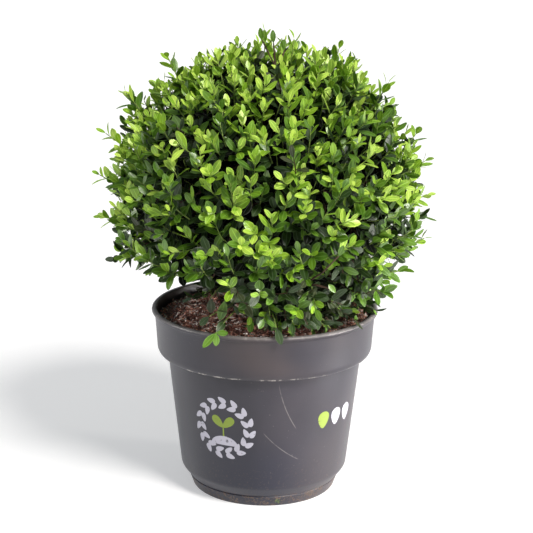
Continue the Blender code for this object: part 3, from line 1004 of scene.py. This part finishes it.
def tube(rows, sides):
    # points of a tube, ring after ring, from rows of x, y, z and radius
    path, radii = rows[:, :3], rows[:, 3]
    along = np.gradient(path, axis=0)
    along /= np.linalg.norm(along, axis=1, keepdims=True) + 1e-12
    hint = np.eye(3)[np.argmin(np.abs(along.mean(axis=0)))]
    across = np.cross(along, hint)
    across /= np.linalg.norm(across, axis=1, keepdims=True)
    up = np.cross(along, across)
    angles = (2 * pi * np.arange(sides) / sides)[None, :, None]
    ring = across[:, None, :] * np.cos(angles) + up[:, None, :] * np.sin(angles)
    return (path[:, None, :] + ring * radii[:, None, None]).reshape(-1, 3)


def tubeFaces(rings, sides):
    faces = []
    for i in range(rings - 1):
        for j in range(sides):
            a, b = i * sides + j, i * sides + (j + 1) % sides
            faces.append((a, b, b + sides, a + sides))
    faces.append(tuple(range(sides))[::-1])
    faces.append(tuple(range((rings - 1) * sides, rings * sides)))
    return faces


def drawLimb(name, rows, sides, relief):
    # a disc is drawn out along the limb and narrowed step by step, then rounded and furrowed
    places = [Vector(row[:3]) for row in rows]
    lean = (places[-1] - places[0]).to_track_quat("Z", "X").to_euler()
    deselectAll()
    bpy.ops.mesh.primitive_circle_add(
        vertices=sides, radius=rows[0][3], fill_type="NGON", location=places[0], rotation=lean
    )
    limb = startPiece(name)
    editAll("FACE")
    for i in range(1, len(rows)):
        share = rows[i][3] / rows[i - 1][3]
        drawRing(places[i] - places[i - 1], (share, share, share), places[i])
    endEdit()
    rounder = limb.modifiers.new("roundLimb", "SUBSURF")
    rounder.levels = rounder.render_levels = 2
    applyModifiers(limb)
    normals = [vertex.normal.copy() for vertex in limb.data.vertices]
    for vertex, normal in zip(limb.data.vertices, normals):
        p = vertex.co.copy()
        furrow = noise.noise(Vector((p.x * 700.0, p.y * 700.0, p.z * 160.0)))
        knot = noise.noise(p * 130.0)
        vertex.co = p + normal * (relief * (0.6 * furrow + 0.8 * knot))
    bpy.ops.object.shade_smooth()
    return limb


def makeTrunk():
    rows = [(*point, radius) for point, radius in trunkPoints()]
    trunk = drawLimb("trunkBark", smoothPath(rows, 3), 12, limbs["trunkRelief"])
    material = grainyMaterial("trunkBark", limbs["trunkColour"], barkLook)
    finishPiece(trunk, material, ("trunk",))


def boughRows(name, middle, count):
    # from the trunk's axis, down a little and up to the foot of the mass's stem
    step = (int(name.rpartition("_")[2]) - 1) * 2
    step = step % count + step // count
    base = limbs["upperBoughHeight"] if "upper" in name else limbs["sideBoughHeight"]
    start = trunkAxis(base + limbs["boughSpread"] * step / count)
    tip = stemFoot(middle)
    shoulder = start + (tip - start) * 0.4 - Vector((0.0, 0.0, limbs["boughArch"]))
    elbow = tip - middle * limbs["boughTipRun"]
    rows = np.vstack([bowedRows(start, shoulder, elbow, 0.0, 0.0, 4), (*tip, 0.0)])
    rows[:, 3] = np.linspace(limbs["boughRadius"], limbs["boughTipRadius"], len(rows))
    return rows


def makeLimbs(middles):
    makeTrunk()
    counts = {ring: count for ring, count, _, _ in crown["rings"]}
    boughs, replaced = [], []
    for name, middle in middles.items():
        if name == "crown_top":
            continue
        rows = boughRows(name, middle, counts[name.rpartition("_")[0]])
        boughs.append(drawLimb("bough", smoothPath(rows, 2), 8, limbs["boughRelief"]))
        replaced.append(name.replace("crown", "bough"))
    material = grainyMaterial("boughBark", limbs["boughColour"], barkLook)
    finishPiece(joinInto("boughBark", boughs), material, replaced)
    print("limbs made:", len(boughs), "boughs")


# foliage

leafForm = {
    # stations along the leaf, its widths there, and the strips across it
    "fine": (
        (0.0, 0.07, 0.22, 0.42, 0.63, 0.82, 0.94, 1.0),
        (0.10, 0.17, 0.60, 0.94, 0.99, 0.72, 0.38, 0.0),
        (-1.0, -0.5, 0.0, 0.5, 1.0),
    ),
    "coarse": ((0.0, 0.30, 0.65, 1.0), (0.08, 0.78, 0.95, 0.0), (-1.0, 0.0, 1.0)),
    "length": 0.0212,
    "width": 0.0097,
    "mostPerPiece": 3500,
}
stems = {
    # radius at the foot and at the tip
    "fork": (0.0026, 0.0020),
    "branch": (0.0019, 0.0012),
    "twig": (0.0012, 0.0008),
    "sprig": (0.0013, 0.0009),
    "shoot": (0.00088, 0.00048),
    "bare": (0.0016, 0.0007),
    "hanger": (0.0008, 0.0004),
}
twigLook = {"sides": 5, "twigsBrown": linear(76, 54, 40), "twigsGreen": linear(138, 160, 78)}
layers = {
    # count, share of the crown's reach, twig length, leaves, size of the leaves, fineness
    "outer": (740, (0.875, 0.965), (0.036, 0.056), (8, 12), 1.0, True),
    "middle": (350, (0.72, 0.83), (0.032, 0.046), (7, 9), 1.0, True),
    # the inner layer's large near-black leaves are painted shade that fills the crown's middle
    "inner": (420, (0.46, 0.70), (0.034, 0.050), (6, 8), 1.40, False),
}
growth = {
    "wander": 0.060,  # how far a shoot leaves its place in the even spread
    "thinning": 0.60,  # share of the shoots that is missing right underneath
    "lumps": 0.034,
    "proudShare": 0.10,
    "proudReach": 0.045,
    "lift": 0.55,
    "liftLessBelow": 0.5,
    "crooked": 0.36,
    "bow": 0.24,
    # how fresh a shoot is: in all, by patches, by height (fresher growth and painted light on
    # top), towards the sides (painted shade), low down (painted shade underneath), by chance
    "mood": (0.53, 0.30, 0.26, -0.13, -0.65, 0.34),
    "freshFrom": 0.66,
    "livelyFrom": 0.40,
}

sprigs = (
    # azimuth, elevation, share of the reach
    (262, 84, 1.04),
    (325, 78, 1.02),
    (190, 52, 1.06),
    (185, 33, 1.06),
    (182, 17, 1.04),
    (180, 2, 1.03),
    (183, -12, 1.02),
    (358, -4, 0.985),
    (356, 9, 0.98),
    (348, 41, 1.03),
    (20, 60, 1.02),
    (80, 30, 1.04),
    (110, 5, 1.04),
)
trims = (
    # where the crown is flatter, or fuller if below 0: azimuth, elevation, width, depth
    (354, 25, 15, 0.055),
    (132, 8, 14, 0.030),
    (297, -24, 11, 0.200),
    (350, -36, 14, 0.020),
    (356, -2, 18, -0.015),
    (352, -28, 14, 0.020),
    (188, 42, 26, 0.030),
)
leafTones = {
    # colour, roughness, specular level
    "fresh": (linear(176, 212, 78), 0.32, 0.60),
    "bright": (linear(138, 178, 41), 0.30, 0.70),
    "mid": (linear(86, 125, 22), 0.28, 0.75),
    "deep": (linear(36, 60, 11), 0.34, 0.50),
    # shade is near black: painted shade for leaves deep in the crown
    "shade": (linear(9, 15, 4), 0.65, 0.06),
    "old": (linear(54, 63, 34), 0.36, 0.40),
}
leafLook = {
    "clumpScale": 26.0,
    "leafScale": 70.0,
    "veins": 8.0,
    "ribLight": 0.70,
    "marginPaleAndHighlight": 0.62,
    "veinLight": 0.05,
    "footShade": 0.30,
}


def leafTemplate(stations, widths, strips):
    # u across from -1 to 1, v along from 0 to 1, and the faces between them
    points, grid, faces = [], [], []
    count = len(strips)
    for v, w in zip(stations[:-1], widths[:-1]):
        points += [(u * w, v) for u in strips]
        grid += [(u, v) for u in strips]
    points.append((0.0, 1.0))
    grid.append((0.0, 1.0))
    tip = len(points) - 1
    for i in range(len(stations) - 1):
        for j in range(count - 1):
            a, b = i * count + j, i * count + j + 1
            last = i == len(stations) - 2
            faces.append((a, b, tip) if last else (a, b, b + count, a + count))
    return np.array(points), np.array(grid), faces


def leafPiece(name, leaves, template, material):
    points, grid, faces = template
    rows = np.array(leaves)
    root, way, face = (rows[:, None, i : i + 3] for i in (0, 3, 6))
    length, width, fold, cup, droop, sway = (rows[:, i, None] for i in range(9, 15))
    u, v = points[None, :, 0], points[None, :, 1]
    across = u * width / 2 + sway * length * v * v
    along = v * length * (1.0 - 0.3 * droop * v)
    lift = width / 2 * (fold * np.abs(u) + cup * u * u) - droop * length * v * v
    place = root + way * along[:, :, None] + np.cross(face, way) * across[:, :, None]
    place = place + face * lift[:, :, None]
    corners, starts = repeatFaces(faces, len(points), len(leaves))
    obj = meshFromArrays(name, place.reshape(-1, 3), corners, starts)
    layer = obj.data.uv_layers.new(name="leafGrid")
    spots = np.tile(grid * (0.5, 1.0) + (0.5, 0.0), (len(leaves), 1))[corners]
    layer.data.foreach_set("uv", spots.astype(np.float32).ravel())
    masses = [name for name in nodeNames if name.startswith("crown")]
    finishPiece(obj, material, masses)


def clearOfPot(point):
    radius = hypot(point.x, point.y)
    if radius > pot["rimRadius"] + 0.003:
        return True
    if radius > pot["collarTopRadius"] - pot["wall"] - 0.002:
        return point.z > pot["height"] + 0.001
    return point.z > soilHeight(radius) + 0.003


def toneOf(age, kind):
    # age runs from 0 at a shoot's foot to 1 at its tip
    roll = random.random()
    # the inner and middle layers and the leaves near a shoot's foot get the deep and shade tones:
    # painted shade for the depth of the crown
    if kind == "inner":
        return "shade"
    if kind == "middle" and age > 0.7:
        return "mid" if roll < 0.10 else "deep"
    if kind == "middle":
        return "deep" if roll < 0.15 else "shade"
    if kind == "old":
        return "old" if roll < 0.34 else ("deep" if roll < 0.88 else "mid")
    if age < 0.15:
        return "shade" if roll < 0.6 else "deep"
    if kind == "fresh":
        return "fresh" if age > 0.55 else ("bright" if age > 0.32 or roll < 0.2 else "mid")
    if kind == "lively":
        if age > 0.66:
            return "fresh" if roll < 0.42 else "bright"
        return "bright" if roll < 0.12 + 0.5 * age else ("mid" if age > 0.3 else "deep")
    if age > 0.75:
        return "bright" if roll < 0.38 else "mid"
    return "mid" if roll < 0.15 + 0.6 * age else "deep"


class Foliage:
    # gathers every leaf and twig before they are joined by kind
    def __init__(self):
        self.leaves = {}
        self.twigs = {"twigsBrown": [], "twigsGreen": []}
        self.hubs = []

    def addLeaf(self, tone, fine, root, way, face, size, free):
        # places one leaf, and says whether there was room for it
        face = face - way * face.dot(way)
        if face.length < 1e-6:
            return False
        face.normalize()
        length = leafForm["length"] * size * random.uniform(0.78, 1.16)
        tip = root + way * length
        if not clearOfPot(tip) or not clearOfPot(root):
            return False
        if not free and tip.z < lowestHeight(tip) - 0.011:
            return False
        width = leafForm["width"] * size * random.uniform(0.84, 1.10)
        fold = random.uniform(0.05, 0.42)
        cup = random.uniform(-0.38, 0.05)
        droop = random.uniform(-0.04, 0.26)
        sway = random.uniform(-0.07, 0.07)
        row = (*root, *way, *face, length, width, fold, cup, droop, sway)
        self.leaves.setdefault((tone, fine), []).append(row)
        return True

    def addShoot(self, base, tip, bend, count, size, kind, fine, bare=0.14, free=False):
        # a curved stem with leaves set round it on a golden spiral
        elbow = base.lerp(tip, 0.5) + bend
        placed = 0
        turn = random.uniform(0.0, 2 * pi)
        for i in range(count):
            age = i / (count - 1)
            t = bare + (1.0 - bare) * age
            axis = (elbow.lerp(tip, t) - base.lerp(elbow, t)).normalized()
            angle = turn + i * 2.39996
            first = axis.orthogonal().normalized()
            radial = first * cos(angle) + axis.cross(first) * sin(angle)
            spread = radians(66.0 - 44.0 * age**1.6 + random.uniform(-11.0, 11.0))
            way = axis * cos(spread) + radial * sin(spread)
            way = (way + Vector((0, 0, 0.16))).normalized()
            face = axis * sin(spread) - radial * cos(spread)
            face = face + Vector((0.0, 0.0, 0.25)) + jitter(0.38)
            shrink = 0.46 if kind in ("fresh", "lively") else 0.28
            grown = size * (1.0 - shrink * max(0.0, age - 0.60) / 0.40)
            root, tone = bowed(base, elbow, tip, t), toneOf(age, kind)
            placed += self.addLeaf(tone, fine, root, way, face, grown, free)
        kept = placed * 2 >= count
        if kept:
            twigs = self.twigs["twigsBrown" if kind == "old" else "twigsGreen"]
            twigs.append(bowedRows(base, elbow, tip, *stems["shoot"]))
        return kept

    def addTwig(self, start, end, stem):
        # an older twig that leads from a hub to a shoot's foot
        middle = start.lerp(end, 0.5) + jitter(0.12) * (end - start).length
        self.twigs["twigsBrown"].append(bowedRows(start, middle, end, *stems[stem]))

    def addHubs(self, middles):
        # each mass's stem divides towards a few hubs, and each hub carries shoots
        for way in spreadWays(110, 0.7):
            reach = crownReach(way) * random.uniform(0.60, 0.68)
            hub = crown["centre"] + way * reach
            if hub.z < lowestHeight(hub) + 0.006:
                continue
            middle = max(middles.values(), key=lambda other: other.dot(way))
            foot = stemFoot(middle)
            fork = foot + middle * 0.016
            self.addTwig(foot, fork + jitter(0.001), "fork")
            self.addTwig(fork, hub, "branch")
            self.hubs.append((way, hub))

    def nearestHub(self, way):
        return max(self.hubs, key=lambda hub: hub[0].dot(way))[1]


def growLayer(foliage, name):
    count, shares, lengths, leafCounts, size, fine = layers[name]
    mood, byPatch, byHeightAndLight, paintedShadeAtSides, paintedShadeBelow, byChance = growth["mood"]
    for way in spreadWays(count, len(name) * 0.9):
        way = (way + jitter(growth["wander"])).normalized()
        low = max(0.0, -way.z - 0.30) / 0.70  # 0 above, up to 1 right underneath
        if name != "inner" and random.random() < growth["thinning"] * low:
            continue
        lumps = noise.noise(way * 2.4) + noise.noise(way * 6.0 + Vector((9, 0, 0)))
        lump = 1.0 + growth["lumps"] * lumps
        if name == "outer" and random.random() < growth["proudShare"]:
            lump += growth["proudReach"]
        for azimuth, elevation, spread, depth in trims:
            apart = way.angle(direction(azimuth, elevation)) / radians(spread)
            lump -= depth * exp(-apart * apart)
        reach = crownReach(way) * random.uniform(*shares) * lump
        tip = crown["centre"] + way * reach
        if tip.z < lowestHeight(tip):
            continue
        lift = growth["lift"] - growth["liftLessBelow"] * low
        axis = (way + Vector((0.0, 0.0, lift)) + jitter(growth["crooked"])).normalized()
        length = random.uniform(*lengths)
        base = tip - axis * length
        bend = (way - axis * way.dot(axis)) * length * growth["bow"]
        # fresher, brighter leaves on top are partly the plant's own growth and partly painted
        # light; darker leaves towards the sides and underneath are painted shade
        fresh = mood + byPatch * noise.noise(way * 3.4 + Vector((0, 5, 0)))
        fresh += byHeightAndLight * way.z + paintedShadeAtSides * abs(way.x)
        fresh += random.uniform(-byChance, byChance) + paintedShadeBelow * low
        kind = name
        if name == "outer":
            kind = "lively" if fresh > growth["livelyFrom"] else "plain"
            kind = "fresh" if fresh > growth["freshFrom"] else kind
        if name != "inner" and random.random() < min(0.8, 1.15 * low) + 0.03:
            kind = "old"
        if foliage.addShoot(base, tip, bend, random.randint(*leafCounts), size, kind, fine):
            foliage.addTwig(foliage.nearestHub(way), base, "twig")


def growSprigs(foliage):
    # single long shoots that stand out of the outline
    for azimuth, elevation, share in sprigs:
        way = direction(azimuth, elevation)
        tip = crown["centre"] + way * (crownReach(way) * share)
        axis = (way + Vector((0.0, 0.0, 0.5))).normalized()
        base = tip - axis * 0.056
        foliage.addShoot(base, tip, jitter(0.004), 10, 1.05, "lively", True, 0.2)
        foliage.addTwig(foliage.nearestHub(way), base, "sprig")


bareTwigs = (
    # foot, elbow and tip, in millimetres, of dark old twigs near the top and low in front
    ((30, -60, 450), (10.8, -62, 492), (-5.5, -34, 519.5)),
    ((10, -58, 470), (8.5, -50, 504), (7, -30, 516)),
    ((10.8, -60, 490), (16, -60, 503), (19, -52, 511)),
    ((26, -76, 256), (52, -138, 274), (76, -152, 310)),
    ((44, -112, 268), (60, -142, 278), (74, -150, 270)),
    ((50, -100, 280), (44, -132, 296), (34, -140, 306)),
)


def growBareTwigs(foliage):
    for row in bareTwigs:
        foot, elbow, tip = (Vector(place) * 0.001 for place in row)
        foliage.twigs["twigsBrown"].append(bowedRows(foot, elbow, tip, *stems["bare"]))
        way = Vector((random.uniform(-0.7, 0.7), -0.4, 0.8)).normalized()
        foliage.addLeaf("mid", True, tip, way, Vector((0, -1, 0.4)), 0.65, True)


skirt = {
    "shoots": 34,
    "azimuths": (257.0, 336.0),
    "footRadius": (0.045, 0.075),
    "footHeight": (0.232, 0.258),
    "tipRadius": (0.104, 0.131),
    "tipHeight": (0.215, 0.236),
    "kinds": ("old", "old", "old", "middle", "middle", "plain", "lively"),
}
hangers = (
    # foot, elbow and end of a stem, and then each leaf's tip and tone; all in millimetres
    ((-20, -50, 250), (-50, -100, 270), (-58.5, -105, 250.4), (-56.4, -108, 230.3, "old")),
    (
        (-20, -55, 250), (-34, -100, 258), (-42.9, -105, 248.3),
        (-47.2, -109, 227, "mid"), (-30, -112, 256, "mid"),
    ),
    ((-20, -60, 240), (-45, -115, 242), (-59.6, -114, 232.5), (-72.5, -120, 221.7, "deep")),
    (
        (-20, -70, 236), (-38, -125, 240), (-51.5, -136, 220.7),
        (-64.2, -140, 208.5, "mid"), (-50.4, -141, 206.5, "mid"),
        (-37.4, -138, 222, "mid"), (-42, -128, 233, "deep"),
    ),
    (
        (4, -85, 236), (10, -125, 238), (12.2, -133, 226.3),
        (18.3, -138, 208.2, "deep"), (2, -130, 233, "mid"),
    ),
)


def growSkirt(foliage):
    # older shoots that lean down over the soil to the pot's rim in front
    first, last = skirt["azimuths"]
    for i in range(skirt["shoots"]):
        azimuth = first + (i + random.uniform(0.0, 0.9)) / skirt["shoots"] * (last - first)
        out = direction(azimuth, 0.0)
        side = direction(azimuth + 90.0, 0.0) * random.uniform(-0.022, 0.022)
        base = out * random.uniform(*skirt["footRadius"])
        base.z = random.uniform(*skirt["footHeight"])
        tip = out * random.uniform(*skirt["tipRadius"]) + side
        tip.z = random.uniform(*skirt["tipHeight"])
        kind = random.choice(skirt["kinds"])
        bend = Vector((0.0, 0.0, 0.006))
        foliage.addShoot(base, tip, bend, random.randint(7, 10), 0.92, kind, True, free=True)
        foliage.addTwig(foliage.nearestHub(out - Vector((0, 0, 0.6))), base, "twig")


def growHangers(foliage):
    # the few leaves that hang over the soil and in front of the rim
    for row in hangers:
        foot, elbow, end = (Vector(place) * 0.001 for place in row[:3])
        foliage.twigs["twigsGreen"].append(bowedRows(foot, elbow, end, *stems["hanger"]))
        for *tip, tone in row[3:]:
            run = Vector(tip) * 0.001 - end
            face = Vector((0.0, -1.0, 0.4)) + jitter(0.15)
            size = run.length / leafForm["length"]
            foliage.addLeaf(tone, True, end, run.normalized(), face, size, True)


def makeFoliage(middles):
    foliage = Foliage()
    foliage.addHubs(middles)
    for name in layers:
        growLayer(foliage, name)
    growSprigs(foliage)
    growSkirt(foliage)
    growBareTwigs(foliage)
    growHangers(foliage)
    total = 0
    most = leafForm["mostPerPiece"]
    for (tone, fine), leaves in sorted(foliage.leaves.items()):
        label = tone.capitalize() + ("" if fine else "Inner")
        material = leafMaterial("leaf" + label, *leafTones[tone])
        template = leafTemplate(*leafForm["fine" if fine else "coarse"])
        total += len(leaves)
        parts = [leaves[i : i + most] for i in range(0, len(leaves), most)]
        for i, part in enumerate(parts):
            suffix = f"_{i + 1}" if len(parts) > 1 else ""
            leafPiece("leaves" + label + suffix, part, template, material)
    sides = twigLook["sides"]
    for name, rows in foliage.twigs.items():
        points = np.concatenate([tube(row, sides) for row in rows])
        faces = repeatFaces(tubeFaces(4, sides), 4 * sides, len(rows))
        piece = meshFromArrays(name, points, *faces)
        finishPiece(piece, grainyMaterial(name + "Bark", twigLook[name], barkLook))
    print("foliage made:", total, "leaves")


def leafMaterial(name, colour, roughness, specular):
    material, shader, place = startMaterial(name, Specular_IOR_Level=specular)
    u, v, _ = place.add("UVMap", {"uv_map": "leafGrid"}).axes()
    u = abs(u * 2.0 - 1.0)
    clump = place.noise(leafLook["clumpScale"], 2.0)
    single = place.noise(leafLook["leafScale"], 1.0)
    rib = (1.0 - u.ramp(0.03, 0.15)) * (1.0 - v.ramp(0.80, 1.0))
    # a pale margin, partly the leaf's own pale edge and partly a painted highlight along it
    margin = u.ramp(0.72, 0.93)
    waves = (v * leafLook["veins"] - u * 1.2) * (2 * pi)
    veins = waves.maths("SINE", waves) * 0.5 + 0.5
    dark = tuple(value * share for value, share in zip(colour, (0.70, 0.80, 0.74)))
    pale = tuple(min(1.0, value * share) for value, share in zip(colour, (1.22, 1.14, 1.20)))
    light = tuple(min(1.0, value * 1.7 + 0.06) for value in colour)
    tone = (clump * 0.40 + single * 0.60).ramp(0.36, 0.64).blend(dark, pale)
    tone = ((1.0 - v.ramp(0.0, 0.5)) * leafLook["footShade"]).blend(tone, dark)
    lines = rib * leafLook["ribLight"] + margin * leafLook["marginPaleAndHighlight"]
    lines = lines + veins * leafLook["veinLight"]
    tone = lines.maths("MINIMUM", lines, 0.8).blend(tone, light)
    feed(shader, "Base Color", tone)
    feed(shader, "Roughness", roughness + single * 0.14)
    feedBump(shader, veins * 0.30 - rib * 0.4, 0.20, 0.0005)
    return material


# everything in order

makeCamera()
makeLights()
makeStage()
print("studio made")
makePot()
makeWreath()
makeDrops()
makeSoil()
massWays = massMiddles()
makeLimbs(massWays)
makeFoliage(massWays)
